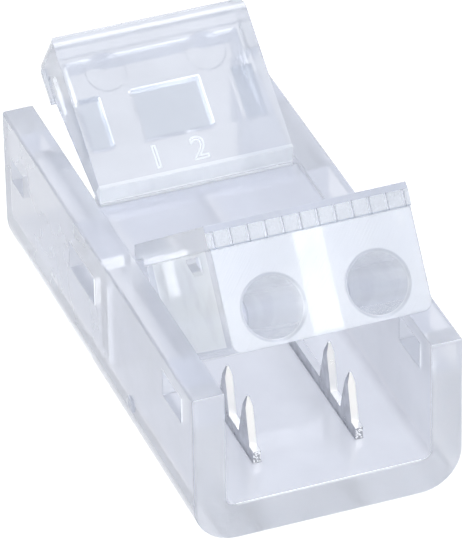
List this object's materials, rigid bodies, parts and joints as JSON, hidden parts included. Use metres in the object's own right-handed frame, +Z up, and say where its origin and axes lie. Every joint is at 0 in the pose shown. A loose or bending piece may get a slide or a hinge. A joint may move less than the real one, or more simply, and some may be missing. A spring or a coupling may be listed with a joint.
{
  "type": "led strip connector",
  "caption": "Clear snap-lid connector that joins a two-track light strip to a pair of wires with piercing contact blades.",
  "frame": {"origin": "middle of the flat underside of the housing", "axes": "+X across the troughs, +Y from the wire mouth to the strip mouth, +Z up out of the troughs"},
  "size_m": [0.0108, 0.0221, 0.0127],
  "materials": {
    "clear_body": "clear moulded polycarbonate, glossy, faintly blue-grey",
    "clear_lids": "clear moulded polycarbonate, glossy, faintly blue-grey",
    "plated_metal": "tin-plated stamped bronze, bright"
  },
  "bodies": {
    "base": {"housing": "clear_body", "contact_left": "plated_metal", "contact_right": "plated_metal"},
    "wire_cover": {"wire_lid": "clear_lids"},
    "strip_cover": {"strip_lid": "clear_lids"}
  },
  "joints": [
    {"name": "wire_lid_hinge", "type": "hinge", "parent": "base", "child": "wire_cover", "pos_m": [0, -0.00082, 0.00655], "axis": [-1, 0, 0], "range_deg": [-36, 64], "stiffness_Nm_per_rad": 0.002},
    {"name": "strip_lid_hinge", "type": "hinge", "parent": "base", "child": "strip_cover", "pos_m": [0, 0.00324, 0.00655], "axis": [1, 0, 0], "range_deg": [-36, 64], "stiffness_Nm_per_rad": 0.002}
  ]
}
